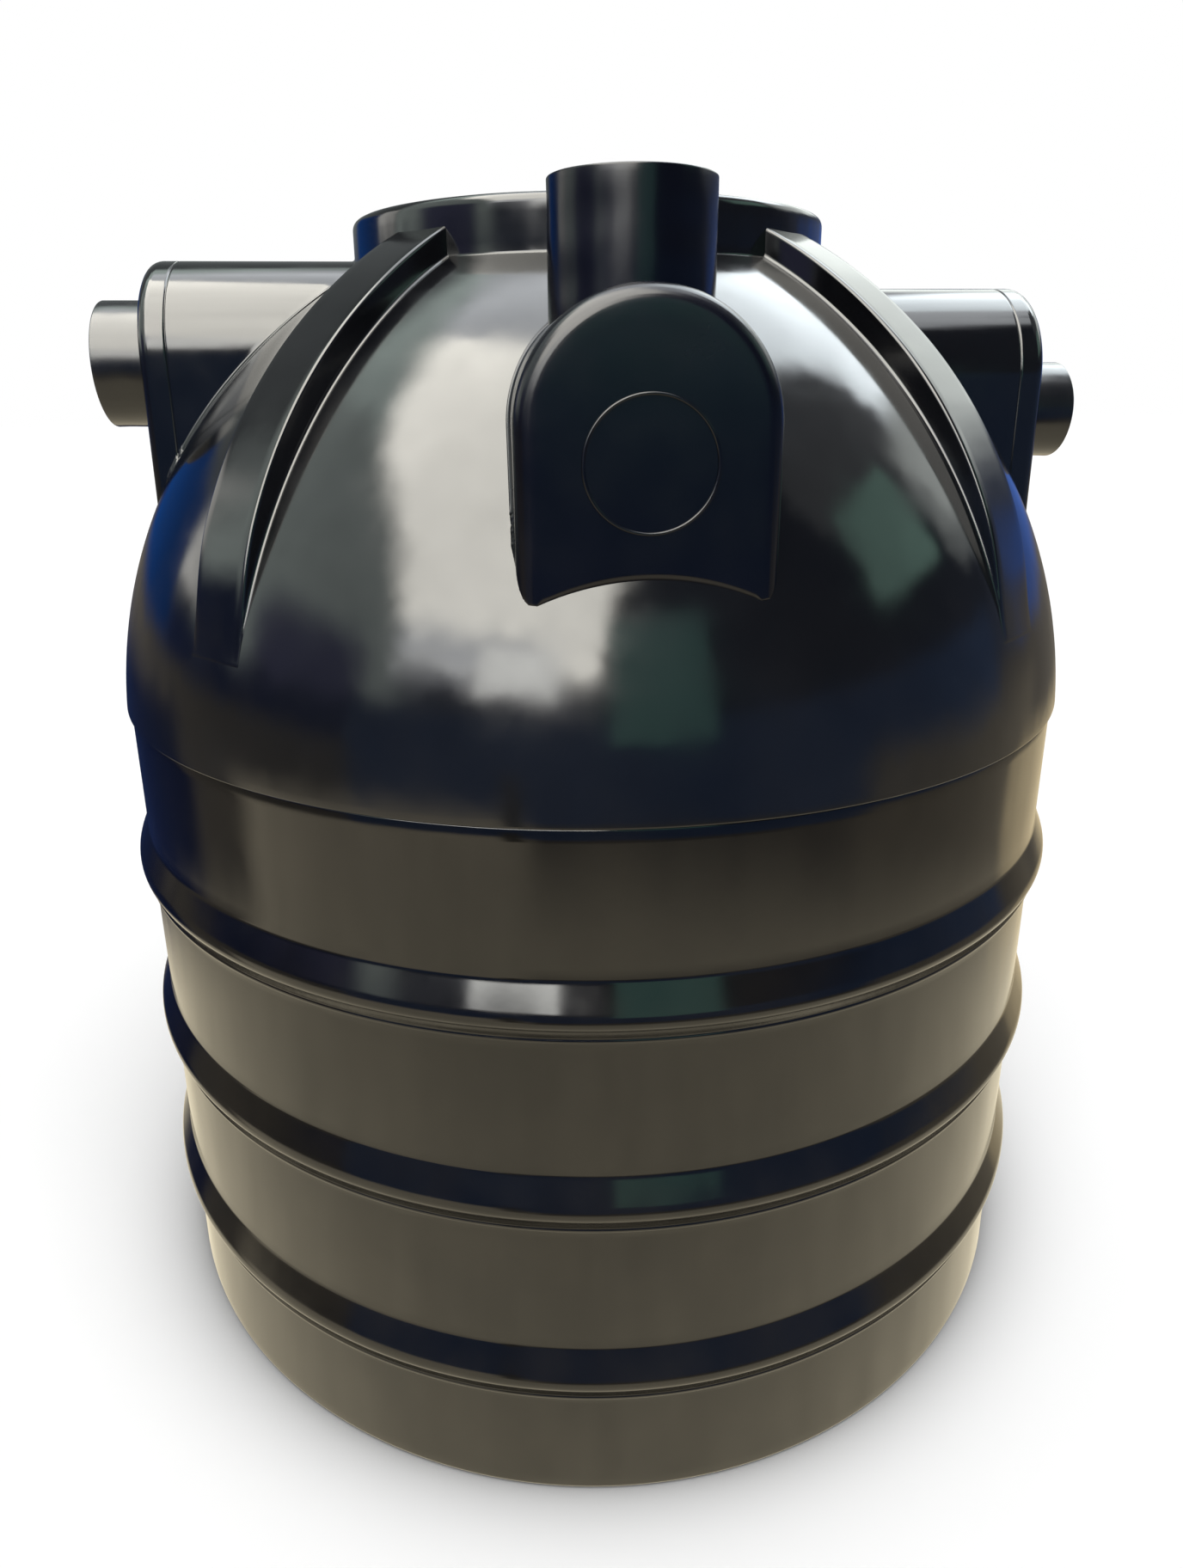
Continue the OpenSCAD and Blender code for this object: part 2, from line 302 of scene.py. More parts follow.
@dataclass(frozen=True)
class Finishes:
    """The tank's finishes."""

    # rotational moulding in a polished mould leaves a mirror-like skin
    gloss: MouldedPlastic = MouldedPlastic("Gloss black moulded polyethylene")
    # the wall below is a deeper black and mirrors a little sharper; its paler dust film, brownest
    # near the floor, is partly a painted reflection of the brown ground
    wall: MouldedPlastic = MouldedPlastic(
        "Dusty gloss black polyethylene", body="08080a", cloud="100f0f", dust_and_reflection="6a5f4a",
        dust_and_reflection_share=0.07, gloss_low=0.08, gloss_high=0.14)
    # the front hood, its pipe and its ring come from a blasted mould: satin, faintly navy
    satin: MouldedPlastic = MouldedPlastic(
        "Satin navy-black polyethylene", body="06070f", cloud="090b18", dust_and_reflection_share=0.03,
        gloss_low=0.2, gloss_high=0.28, peel_mm=2.5, wave_depth_mm=0.2, ior=1.38)
    # extruded pipe, scuffed to a grey sheen by handling
    pipe: MouldedPlastic = MouldedPlastic(
        "Scuffed grey-black pipe plastic", body="0e0f12", cloud="1a1b1f", dust_and_reflection_share=0.12,
        gloss_low=0.17, gloss_high=0.27, peel_mm=4.0, wave_mm=35.0, wave_depth_mm=0.3)


# ---- surfaces


def grid_faces(rows: int, columns: int, closed: bool) -> NDArray[np.int64]:
    """Numbers the four-sided faces of a grid of points.

    Args:
        rows: Number of rows of points.
        columns: Number of points in a row.
        closed: Whether each row runs round to its first point.

    Returns:
        One row of four point numbers for each face.
    """
    spans = columns if closed else columns - 1
    i, j = np.meshgrid(np.arange(rows - 1), np.arange(spans), indexing="ij")
    k = (j + 1) % columns
    low, high = i * columns, (i + 1) * columns
    return np.stack([low + j, low + k, high + k, high + j], -1).reshape(-1, 4)


def to_object(
    name: str, grids: list[tuple[Array, bool]], drop: Callable[[Array], Mask] | None = None
) -> Object:
    """Turns grids of points into one welded, smoothly shaded mesh object at the origin.

    Args:
        name: The piece's name.
        grids: Each grid as rows x columns x 3 in mm, and whether its rows are closed.
        drop: A test of face centres in mm, whose true faces are left out.

    Returns:
        The new object, linked to the scene, with its faces turned outwards.
    """
    points, faces, start = [], [], 0
    for grid, closed in grids:
        rows, columns = grid.shape[:2]
        flat = grid.reshape(-1, 3)
        made = grid_faces(rows, columns, closed)
        if drop is not None:
            made = made[~drop(flat[made].mean(1))]
        points.append(flat)
        faces.append(made + start)
        start += len(flat)
    mesh = bpy.data.meshes.new(name)
    mesh.from_pydata((np.vstack(points) * MM).tolist(), [], np.vstack(faces).tolist())
    work = bmesh.new()
    work.from_mesh(mesh)
    bmesh.ops.remove_doubles(work, verts=work.verts, dist=WELD)
    bmesh.ops.dissolve_degenerate(work, edges=work.edges, dist=WELD / 2)
    bmesh.ops.recalc_face_normals(work, faces=work.faces)
    work.to_mesh(mesh)
    work.free()
    mesh.polygons.foreach_set("use_smooth", np.ones(len(mesh.polygons), bool))
    mesh.update()
    return add_object(name, mesh)


def thicken(piece: Object, wall_mm: float) -> None:
    """Gives a single surface its wall thickness on the inside."""
    solid = piece.modifiers.new("wall", "SOLIDIFY")
    solid.thickness = wall_mm * MM
    solid.offset = -1.0
    solid.use_even_offset = True


def rounded(corners: list[tuple[float, float, float]], steps: int = 5) -> Array:
    """Rounds the corners of a line.

    Each corner is replaced by points on the quadratic curve that leaves the line one radius
    before the corner and rejoins it one radius after: p = (1-t)^2 a + 2t(1-t) c + t^2 b.

    Args:
        corners: Points as (radius from the axis, height, rounding), in mm.
        steps: Number of spans in each rounding.

    Returns:
        The rounded line as points x 2.
    """
    knots = np.array([c[:2] for c in corners], float)
    out: list[Array] = [knots[:1]]
    t = np.linspace(0, 1, steps + 1)[:, None]
    for i in range(1, len(knots) - 1):
        ways = [knots[i - 1] - knots[i], knots[i + 1] - knots[i]]
        spans = [np.linalg.norm(way) for way in ways]
        # a rounding takes up a little less than half of the shorter span
        reach = min(corners[i][2], 0.49 * min(spans))
        if reach <= 0:
            out.append(knots[i : i + 1])
            continue
        a, b = (knots[i] + way / span * reach for way, span in zip(ways, spans))
        out.append((1 - t) ** 2 * a + 2 * t * (1 - t) * knots[i] + t**2 * b)
    out.append(knots[-1:])
    return np.vstack(out)


def refine(line: Array, longest: float) -> Array:
    """Adds points to a line so that no span is longer than a given length.

    Args:
        line: Points x 2 in mm.
        longest: The longest span allowed, in mm.

    Returns:
        The finer line, which keeps every given point.
    """
    spans = np.linalg.norm(np.diff(line, axis=0), axis=1)
    counts = np.maximum(1, np.ceil(spans / longest).astype(int))
    parts = [line[i] + (line[i + 1] - line[i]) * np.linspace(0, 1, n, endpoint=False)[:, None]
             for i, n in enumerate(counts)]
    return np.vstack([*parts, line[-1:]])


def turned(line: Array, segments: int, ripple: Ripple | None = None) -> Array:
    """Turns a line about the z axis.

    The point at angle a and line parameter s is (r(s) cos a, r(s) sin a, z(s)), where r may be
    lessened by a ripple that depends on both.

    Args:
        line: Radius and height of each point, in mm.
        segments: Number of steps round the axis.
        ripple: A function of angle and height that gives how far the surface sinks in, in mm.

    Returns:
        A grid of points x segments x 3.
    """
    angle = np.linspace(0, 2 * np.pi, segments, endpoint=False)[None, :]
    radius = np.repeat(line[:, :1], segments, 1)
    height = np.repeat(line[:, 1:], segments, 1)
    if ripple is not None:
        radius = np.maximum(radius - ripple(angle, height) * (radius > 1), 0)
    return np.stack([radius * np.cos(angle), radius * np.sin(angle), height], -1)


def spun(x: Array, y: Array, degrees: float) -> tuple[Array, Array]:
    """Turns points about the z axis: (x cos a - y sin a, x sin a + y cos a)."""
    a = radians(degrees)
    return x * cos(a) - y * sin(a), x * sin(a) + y * cos(a)


def waviness(depth: float, turns: tuple[int, int], pitch: float) -> Ripple:
    """Makes the slow waves of a moulded wall, always sinking in.

    The depth at angle a and height z is depth times the square of
    (sin(n a + z/p) + sin(m a - 1.7 z/p + 1)) / 2, with n and m whole turns.

    Args:
        depth: Deepest wave, in mm.
        turns: The two whole numbers of waves round the tank.
        pitch: The height in mm over which a wave turns by one radian.

    Returns:
        The function of angle and height.
    """
    first, second = turns

    def sunk(a: Array, z: Array) -> Array:
        """Returns how far the surface sinks in at an angle and a height."""
        waves = np.sin(first * a + z / pitch) + np.sin(second * a - 1.7 * z / pitch + 1)
        return depth * (waves / 2) ** 2

    return sunk


# ---- sub-assemblies


@dataclass
class Piece:
    """A finished piece and what it stands for."""

    obj: Object
    slot: Slot
    nodes: tuple[str, ...]

    def settle(self, material: Material) -> "Piece":
        """Dresses the piece, lets it ride on the tank and hides the nodes that it stands for.

        Args:
            material: The finish.

        Returns:
            The piece itself.
        """
        self.obj.data.materials.clear()
        self.obj.data.materials.append(material)
        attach(self.obj, "root")
        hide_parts(*self.nodes)
        faces = len(self.obj.data.polygons)
        LOG.info("%s: %d faces, stands for %s", self.obj.name, faces, ", ".join(self.nodes))
        return self


@dataclass
class Ball:
    """The ball that the dome and every piece on it are cut to."""

    radius: float
    centre_z: float

    @classmethod
    def from_frame(cls, low: float = 26.0) -> "Ball":
        """Reads the ball from the shoulder's box.

        Args:
            low: Depth of the ball's centre below the shoulder's lower edge, in mm.

        Returns:
            The ball.
        """
        lowest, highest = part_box("shoulder")
        edge = (highest.x - lowest.x) / 2 / MM
        return cls(radius=hypot(edge, low), centre_z=lowest.z / MM - low)

    def height(self, across: Values) -> Array:
        """Returns the ball's height above its centre at a distance from the axis."""
        return np.sqrt(np.maximum(self.radius**2 - np.square(across), 0))


@dataclass
class VentHole:
    """The upright hole where the vent pipe passes hood and dome, above a lowest height."""

    radius: float = 52.8
    lowest: float = 700.0

    def covers(self, points: Array) -> Mask:
        """Tells which points in mm lie in the hole."""
        x, y, _ = sum(box_mm("vent_pipe")) / 2
        away = np.hypot(points[:, 0] - x, points[:, 1] - y)
        return (away < self.radius) & (points[:, 2] > self.lowest)


@dataclass
class RibbedBody:
    """The round wall with its three ribs and its bottom, in one turned surface.

    Each rib has a bead along its lower edge, then a groove, a round nose at the crown's height
    and a slope. Sizes are in mm and angles in degrees.
    """

    finish: Material
    segments: int = 288
    foot: float = 5.0
    rib_height: float = 46.0
    rib_out: float = 10.0
    crown: float = 17.0
    crown_r: float = 8.0
    crown_from: float = -50.0
    ease_wall: float = 0.1
    ease_nose: float = 0.74
    slope_points: int = 28
    bead: float = 3.0
    bead_out: float = 5.0
    bead_edge: float = 0.6
    groove: float = 1.4
    wall: float = 7.0
    ripple: float = 0.45
    longest: float = 9.0

    def rib_line(self, low: float, radius: Callable[[Values], Values]) -> Line:
        """Draws one rib: a bead with a fine groove over it, a round nose, a cone up to the wall.

        With t the share of height left to the wall, the rib stands out by rib_out f(t): f is a
        short parabola at the wall, then a straight line of slope k, then a longer parabola that
        ends upright at the nose, with k = 2 / (1 + ease_nose - ease_wall) so that they join.

        Args:
            low: Height of the rib's lower edge.
            radius: The wall's radius as a function of height.

        Returns:
            Points as radius and height.
        """
        base = radius(low)
        middle = base + self.rib_out - self.crown_r
        bead = base + self.bead_out
        edge, over = self.bead_edge, low + self.bead
        line = [(bead - edge, low), (bead, low + edge), (bead, over), (bead - edge, over + edge),
                (bead, over + self.groove)]
        height = low + self.crown
        line += [(middle + self.crown_r * cos(a), height + self.crown_r * sin(a))
                 for a in np.linspace(np.radians(self.crown_from), 0, 9)]
        left = np.linspace(1, 0, self.slope_points)[1:]
        steep = 2 / (1 + self.ease_nose - self.ease_wall)
        at_wall = steep * left**2 / (2 * self.ease_wall)
        at_nose = 1 - steep * (1 - left) ** 2 / (2 * (1 - self.ease_nose))
        out = np.where(left < self.ease_wall, at_wall, steep * (left - self.ease_wall / 2))
        out = np.where(left > self.ease_nose, at_nose, out)
        z = low + self.rib_height - (self.rib_height - self.crown) * left
        nose = base + self.rib_out - radius(height)
        line += list(zip(radius(z) + nose * out, z))
        return line

    def profile(self) -> Array:
        """Joins foot, wall and ribs into one line from the axis up to the joint."""
        base = box_mm("base_plate")[1][0] - SKIN
        rim = box_mm("band_upper")[1][0]
        joint = box_mm("shoulder")[0][2]

        def radius(z: Values) -> Values:
            """Returns the tapered wall's radius at a height."""
            return base + (rim - base) * z / joint

        turn = np.linspace(-np.pi / 2, 0, 9)
        foot, heel = self.foot, base - self.foot
        line: Line = [(0.0, 0.0), (heel - 2, 0.0)]
        line += [(heel + foot * cos(a), foot + foot * sin(a)) for a in turn]
        for name in ("rib_lower", "rib_middle", "rib_upper"):
            low = box_mm(name)[0][2]
            # a small fillet leads from the wall into the rib's bead
            line += [(radius(low - 1.2), low - 1.2), (radius(low) + 0.3, low - 0.3)]
            line += self.rib_line(low, radius)
        # the wall's upper edge is drawn in, which leaves a soft groove at the joint line
        top = radius(joint)
        line += [(radius(joint - 2.2), joint - 2.2), (top - 0.4, joint - 1.4),
                 (top - 1.6, joint - 0.6), (top - 1.8, joint)]
        return refine(np.array(line), self.longest)

    def build(self) -> Piece:
        """Turns the profile and gives it its wall.

        Returns:
            The body piece.
        """
        grid = turned(self.profile(), self.segments, waviness(self.ripple, (5, 3), 120.0))
        grid[..., 2] = np.maximum(grid[..., 2], 0)
        body = to_object("ribbed_body", [(grid, True)])
        thicken(body, self.wall)
        nodes = ("base_plate", "skirt", "rib_lower", "band_lower", "rib_middle", "band_middle",
                 "rib_upper", "band_upper")
        return Piece(body, Slot.SHELL, nodes).settle(self.finish)


@dataclass
class Dome:
    """The ball-shaped shoulder, open below each hood and at the manhole.

    It reaches under_neck mm in below the neck, and starts lip_turn radians over the joint line.
    """

    ball: Ball
    finish: Material
    hoods: list["Hood"]
    neck_r: float
    segments: int = 360
    rows: int = 96
    wall: float = 7.0
    ripple: float = 0.35
    under_neck: float = 12.0
    lip_turn: float = 0.004

    def open_inside(self, centres: Array) -> Mask:
        """Tells which face centres lie in the opening below a hood or in the vent pipe."""
        away = VentHole().covers(centres)
        for hood in self.hoods:
            along, across, up = hood.to_local(centres)
            half = hood.width / 2 - hood.wall
            top = hood.middle + np.sqrt(np.maximum(half**2 - across**2, 0))
            below = (along > self.neck_r + self.wall) & (along < hood.reach - hood.wall)
            away |= below & (np.abs(across) < half) & (up < top)
        return away

    def build(self) -> Piece:
        """Turns a quarter circle from the joint to the manhole, with a rounded lower lip.

        Returns:
            The dome piece.
        """
        radius, centre_z = self.ball.radius, self.ball.centre_z
        low = box_mm("shoulder")[0][2] - centre_z
        first = asin(low / radius)
        last = acos((self.neck_r - self.under_neck) / radius)
        tilt = np.linspace(first + self.lip_turn, last, self.rows)
        line = np.stack([radius * np.cos(tilt), centre_z + radius * np.sin(tilt)], -1)
        edge = radius * cos(first)
        joint = centre_z + low + 0.02
        lip = rounded([(edge - 6, joint, 0), (edge - 0.1, joint, 1.2), (*line[0], 0)])
        waves = waviness(self.ripple, (4, 3), 150.0)
        grid = turned(np.vstack([lip[:-1], line]), self.segments, waves)
        dome = to_object("dome_shell", [(grid, True)], self.open_inside)
        thicken(dome, self.wall)
        return Piece(dome, Slot.SHELL, ("shoulder", "dome")).settle(self.finish)


@dataclass
class Manhole:
    """The neck, its rounded rim and ledge, and the lid that lies on it.

    The ledge is drop mm below the rim's top, and the lid's middle is a flat sunk panel.
    """

    ball: Ball
    finish: Material
    segments: int = 256
    rim_w: float = 16.0
    rim_r: float = 11.0
    ledge: float = 14.0
    drop: float = 18.0
    ledge_t: float = 7.0
    foot: float = 3.5
    lid_t: float = 10.0
    lid_rim: float = 26.0
    panel: float = 2.5
    gap: float = 2.0

    @property
    def radius(self) -> float:
        """Returns the neck's outside radius."""
        return box_mm("neck")[1][0]

    def build(self) -> list[Piece]:
        """Turns the neck's closed outline and the lid's.

        Returns:
            The neck and the lid.
        """
        top = box_mm("neck")[1][2]
        outer, inner = self.radius - SKIN, self.radius - self.rim_w
        foot_z = self.ball.centre_z + float(self.ball.height(outer))
        out_z = self.ball.centre_z + float(self.ball.height(outer + self.foot))
        seat, rim = top - self.drop, top - 0.02
        under, lip = seat - self.ledge_t, inner - self.ledge
        outline = rounded([
            (inner, foot_z, 0), (outer + self.foot, out_z - 0.4, 0.2),
            (outer, foot_z - 0.5, self.foot * 1.2), (outer, rim, self.rim_r * 1.15),
            (inner, rim, 3.0), (inner, seat, 0.8), (lip, seat, 1.5), (lip, under, 1.5),
            (inner, under, 1.0), (inner, foot_z, 0)], 8)
        neck = to_object("manhole_neck", [(turned(refine(outline, 8.0), self.segments), True)])
        edge, raised = inner - self.gap, seat + self.lid_t
        sunk, bend = raised - self.panel, edge - self.lid_rim
        lid_line = rounded([
            (0, seat, 0), (edge, seat, 1.0), (edge, raised, 3.0), (bend, raised, 4.0),
            (bend - 4, sunk, 4.0), (0, sunk, 0)], 8)
        turned_lid = turned(refine(lid_line, 12.0), self.segments)
        lid = to_object("manhole_lid_cover", [(turned_lid, True)])
        return [Piece(made, Slot.SHELL, (node,)).settle(self.finish)
                for made, node in ((neck, "neck"), (lid, "manhole_lid"))]


@dataclass
class Hood:
    """An arched hood with its rounded end cap, cut to the ball and to the neck.

    The section is two upright sides joined by a half circle. It is carried along the hood's
    heading, drawn in round the cap's face and at the joint line, until it meets ball or neck.
    There it flares out as a fillet, whose edge ends bite mm deep in the ball.
    """

    side: Side
    ball: Ball
    neck_r: float
    finish: Material
    nodes: tuple[str, str]
    pipe: str = ""
    width: float = 165.0
    wall: float = 6.0
    round_r: float = 12.0
    cap: float = 25.0
    groove: float = 0.8
    fillet: float = 3.5
    flare: float = 0.8
    bite: float = 0.4
    steps_side: int = 44
    steps_arch: int = 72
    steps_tail: int = 20
    reach: float = field(init=False)
    middle: float = field(init=False)

    def __post_init__(self) -> None:
        """Reads the reach and the arch's middle from the cap's box."""
        low, high = box_mm(self.nodes[1])
        self.reach = {Side.INLET: -low[0], Side.OUTLET: high[0], Side.VENT: -low[1]}[self.side]
        self.middle = high[2] - self.ball.centre_z - self.width / 2

    def to_local(self, points: Array) -> tuple[Array, Array, Array]:
        """Splits points in mm into distances along, across and over the ball's centre."""
        along, across = spun(points[..., 0], points[..., 1], -self.side.value)
        return along, across, points[..., 2] - self.ball.centre_z

    def to_world(self, along: Array, across: Array, up: Array) -> Array:
        """Puts points given along, across and above back into the frame, in mm."""
        x, y = spun(along, across, self.side.value)
        return np.stack([x, y, up + self.ball.centre_z], -1)

    def section(self) -> tuple[Array, Array]:
        """Lists the section's points and their outward directions, from one foot over the arch.

        Returns:
            Points x 2 as (across, up), and directions x 2.
        """
        half = self.width / 2
        low = float(self.ball.height(hypot(self.reach, half - self.round_r)))
        rise = low + (self.middle - low) * np.linspace(0, 1, self.steps_side) ** 1.3
        turn = np.linspace(np.pi, 0, self.steps_arch)[1:-1]
        one, none = np.ones_like(rise), np.zeros_like(rise)
        out = np.stack([np.concatenate([-one, np.cos(turn), one]),
                        np.concatenate([none, np.sin(turn), none])], -1)
        up = np.concatenate([rise, self.middle + half * np.sin(turn), rise[::-1]])
        return np.stack([half * out[:, 0], up], -1), out

    def run(self) -> Array:
        """Lists distance along and draw-in, from the cap's rounded edge past the joint groove."""
        turn = np.linspace(0, np.pi / 2, 9)
        face = np.stack([self.reach - self.round_r + self.round_r * np.cos(turn),
                         self.round_r * (1 - np.sin(turn))], -1)
        # the groove, as distance from its middle and depth
        notch = np.array([[1.2, 0], [0.7, 0.25], [0.35, self.groove], [-0.35, self.groove],
                          [-0.7, 0.25], [-1.2, 0]]) + [self.reach - self.cap, 0]
        return refine(np.vstack([face, notch, [[0.0, 0.0]]]), 1.0)

    def strip(self) -> Array:
        """Carries the section along the run and stops each line where it enters ball or neck.

        Along a line, the first crossing is found between two samples and the samples are spread
        again up to it. The last few millimetres flare outwards as a fillet and end on the ball.

        Returns:
            A grid of section points x run points x 3, in mm.
        """
        points, out = self.section()
        run = self.run()
        draw = run[None, :, 1:]
        flat = points[:, None, :] - out[:, None, :] * draw
        along = np.repeat(run[None, :, 0], len(points), 0)
        outside = np.sqrt(along**2 + flat[..., 0] ** 2 + flat[..., 1] ** 2) - self.ball.radius
        outside = np.minimum(outside, np.hypot(along, flat[..., 0]) - self.neck_r)
        inside = outside <= 1e-6
        first = np.clip(np.argmax(inside, 1), 1, len(run) - 1)
        rows = np.arange(len(points))
        before, after = outside[rows, first - 1], outside[rows, first]
        share = np.clip(before / np.maximum(before - after, 1e-9), 0, 1)
        stop = along[rows, first - 1] + (along[rows, first] - along[rows, first - 1]) * share
        # past the joint groove the samples spread evenly up to the fillet, then crowd at its foot
        spots = run[run[:, 0] > self.reach - self.cap - 4.0, 0]
        knee = np.minimum(stop + self.fillet, spots[-1] - 0.5)[:, None]
        tail = spots[-1] + (knee - spots[-1]) * np.linspace(0, 1, self.steps_tail)[1:]
        root = knee + (stop[:, None] - knee) * np.sin(np.linspace(0, np.pi / 2, 9))[1:]
        x = np.concatenate([np.repeat(spots[None, :], len(points), 0), tail, root], 1)
        x = np.maximum(x, stop[:, None])
        inset = np.interp(-x, -run[:, 0], run[:, 1])
        left = x - stop[:, None]
        near = np.clip(self.fillet - left, 0, self.fillet)
        swell = self.fillet - np.sqrt(np.maximum(self.fillet**2 - near**2, 0))
        # where a line meets the ball close to the cap's face, the fillet fades out
        short = np.clip((self.reach - self.round_r - stop) / 6, 0, 1)[:, None]
        shift = inset - swell * short * self.flare
        across, up = (points[:, None, i] - out[:, None, i] * shift for i in (0, 1))
        away = np.sqrt(x**2 + across**2 + up**2)
        on_ball = (left < 1e-6) & (np.hypot(x, across) > self.neck_r + 1)
        sunk = np.where(on_ball, (self.ball.radius - self.bite) / away, 1.0)
        return self.to_world(x * sunk, across * sunk, up * sunk)[:, ::-1]

    def face(self) -> Array:
        """Spans the cap's flat face from its closed outline in to the pipe, or to its middle.

        The outline is the drawn-in section closed along the ball; the point at share w is
        (1-w) outline + w circle, with the circle 3 mm inside the pipe's outside.

        Returns:
            A grid of shares x outline points x 3, in mm, whose rows are closed.
        """
        points, out = self.section()
        loop = points - out * self.round_r
        left, right = loop[0], loop[-1]
        across = np.linspace(right[0], left[0], 40)[1:-1]
        foot = np.stack([across, self.ball.height(np.hypot(self.reach, across)) - 0.3], -1)
        loop = np.vstack([loop, foot])
        centre, hole = np.array([0.0, self.middle - 30.0]), 0.0
        if self.pipe:
            # the face runs in to a circle that is hidden in the pipe's wall
            low, high = box_mm(self.pipe)
            centre[1] = (high[2] + low[2]) / 2 - self.ball.centre_z
            hole = (high[1] - low[1]) / 2 - 3.0
        towards = loop - centre
        towards /= np.linalg.norm(towards, axis=1, keepdims=True)
        ring = centre + towards * hole
        share = np.linspace(0, 1, 14)[:, None, None]
        flat = (1 - share) * loop[None] + share * ring[None]
        return self.to_world(np.full(flat.shape[:2], self.reach), flat[..., 0], flat[..., 1])

    def build(self) -> Piece:
        """Joins strip and face into one hood.

        Returns:
            The hood piece.
        """
        drop = VentHole().covers if self.side is Side.VENT else None
        grids = [(self.strip(), False), (self.face(), True)]
        hood = to_object(self.nodes[0] + "_shell", grids, drop)
        thicken(hood, self.wall)
        slot = Slot.HOOD if self.side is Side.VENT else Slot.SHELL
        return Piece(hood, slot, self.nodes).settle(self.finish)


@dataclass
class Pipe:
    """An open pipe stub with softly cut ends, carried along one axis.

    Sunk is the length at its inner end where it is slimmer by the seat, to pass its hood.
    """

    node: str
    side: Side
    finish: Material
    sunk: float
    seat: float = 1.0
    wall: float = 4.5
    segments: int = 160
    dent: float = 0.4

    def build(self) -> Piece:
        """Turns the pipe's closed outline and lays it on its axis.

        Returns:
            The pipe piece.
        """
        low, high = box_mm(self.node)
        size, centre = high - low, (high + low) / 2
        upright = self.side is Side.VENT
        radius = size[1] / 2
        length = size[2] if upright else size[0]
        bore, slim = radius - self.wall, radius - self.seat
        outline = rounded([
            (bore, 0, 0), (slim, 0, 1.0), (slim, self.sunk, 0.1), (radius, self.sunk, 0.1),
            (radius, length, 1.3), (bore, length, 1.3), (bore, 0, 0)], 6)
        grid = turned(refine(outline, 4.0), self.segments, waviness(self.dent, (3, 2), 17.0))
        grid[..., 2] -= length / 2
        if not upright:
            sign = cos(radians(self.side.value))
            grid = np.stack([sign * grid[..., 2], sign * grid[..., 0], grid[..., 1]], -1)
        pipe = to_object(self.node + "_tube", [(grid + centre, True)])
        return Piece(pipe, Slot.PIPE, (self.node,)).settle(self.finish)


@dataclass
class Fin:
    """The outside of a stiffening fin that runs down the dome and melts into it.

    Angles are in degrees over the level of the ball's centre. The outer arc is full above turn
    and runs into the ball at end. Over the last melt degrees the section shrinks and bends.
    """

    node: str
    heading: float
    ball: Ball
    neck_r: float
    finish: Material
    width: float = 56.0
    out: float = 18.0
    turn: float = 46.0
    end: float = 14.05
    melt: float = 13.0
    edge: float = 2.6
    fillet: float = 3.0
    steps: int = 150

    def far(self, angle: Array) -> Array:
        """Gives the outer radius at an angle: a full arc, then one that turns into the ball."""
        radius, far = self.ball.radius, self.ball.radius + self.out
        d = radians(self.turn - self.end)
        run = far - (far**2 - radius**2) / (2 * (far - radius * cos(d)))
        lean = far - run
        below = np.clip(radians(self.turn) - angle, 0, None)
        low = lean * np.cos(below) + np.sqrt(run**2 - (lean * np.sin(below)) ** 2)
        return np.where(angle >= radians(self.turn), far, low)

    def build(self) -> Piece:
        """Carries the fin's section down the dome.

        Across the fin, seven points each make a fillet, a rounded edge, the flat top, and back.
        At angle t the point is centre + offset n + rho (cos t e + sin t z). Rho lies between the
        ball's surface and a top of height h m (2 - m) over it, where h is the outer arc's height
        and m grows from 0 at the end to 1 over the melt. The top also bends with the ball there.

        Returns:
            The fin piece.
        """
        half, ball, end = self.width / 2, self.ball.radius, radians(self.end)
        curve = np.linspace(0, np.pi / 2, 7)
        foot = half + self.fillet - self.fillet * np.sin(curve)
        side = half - self.edge * (1 - np.cos(curve))
        flat = np.linspace(-half + self.edge, half - self.edge, 9)[1:-1]
        offset = np.concatenate([-foot, -side, flat, side[::-1], foot[::-1]])
        # lift is the fillet's height, or -1 on edge and top, and down is the edge's rounding
        rise, fall = self.fillet * (1 - np.cos(curve)), self.edge * (1 - np.sin(curve))
        lift = np.concatenate([rise, np.full(21, -1.0), rise[::-1]])
        down = np.concatenate([np.zeros(7), fall, np.zeros(7), fall[::-1], np.zeros(7)])
        # each line stops 1 mm inside the neck
        reach = np.sqrt((self.neck_r - 1.0) ** 2 - offset**2)
        stop = np.arccos(np.clip(reach / np.where(lift < 0, ball + self.out, ball), -1, 1))
        angle = end + (stop[None, :] - end) * np.linspace(0, 1, self.steps)[:, None]
        floor = np.sqrt(ball**2 - offset**2)[None, :]
        near = np.clip((angle - end) / radians(self.melt), 0, 1)
        tall = (self.far(angle) - ball) * near * (2 - near)
        top = floor + tall + (ball - floor) * near**2 * (3 - 2 * near)
        top = np.maximum(top, floor + 0.03)
        # the first row is sunk, so that the tip closes below the ball's surface
        top[0] = floor[0] - 0.3
        tall = np.maximum(top - floor, 0)
        scale = np.clip(tall / (self.edge + self.fillet), 0, 1)
        rho = np.where(lift >= 0, floor - 0.25 + np.minimum(lift, tall) * scale,
                       top - np.minimum(down, tall * 0.5))
        x, y = spun(rho * np.cos(angle), offset, self.heading)
        grid = np.stack([x, y, self.ball.centre_z + rho * np.sin(angle)], -1)
        fin = to_object(self.node + "_shell", [(grid, False)])
        return Piece(fin, Slot.SHELL, (self.node,)).settle(self.finish)


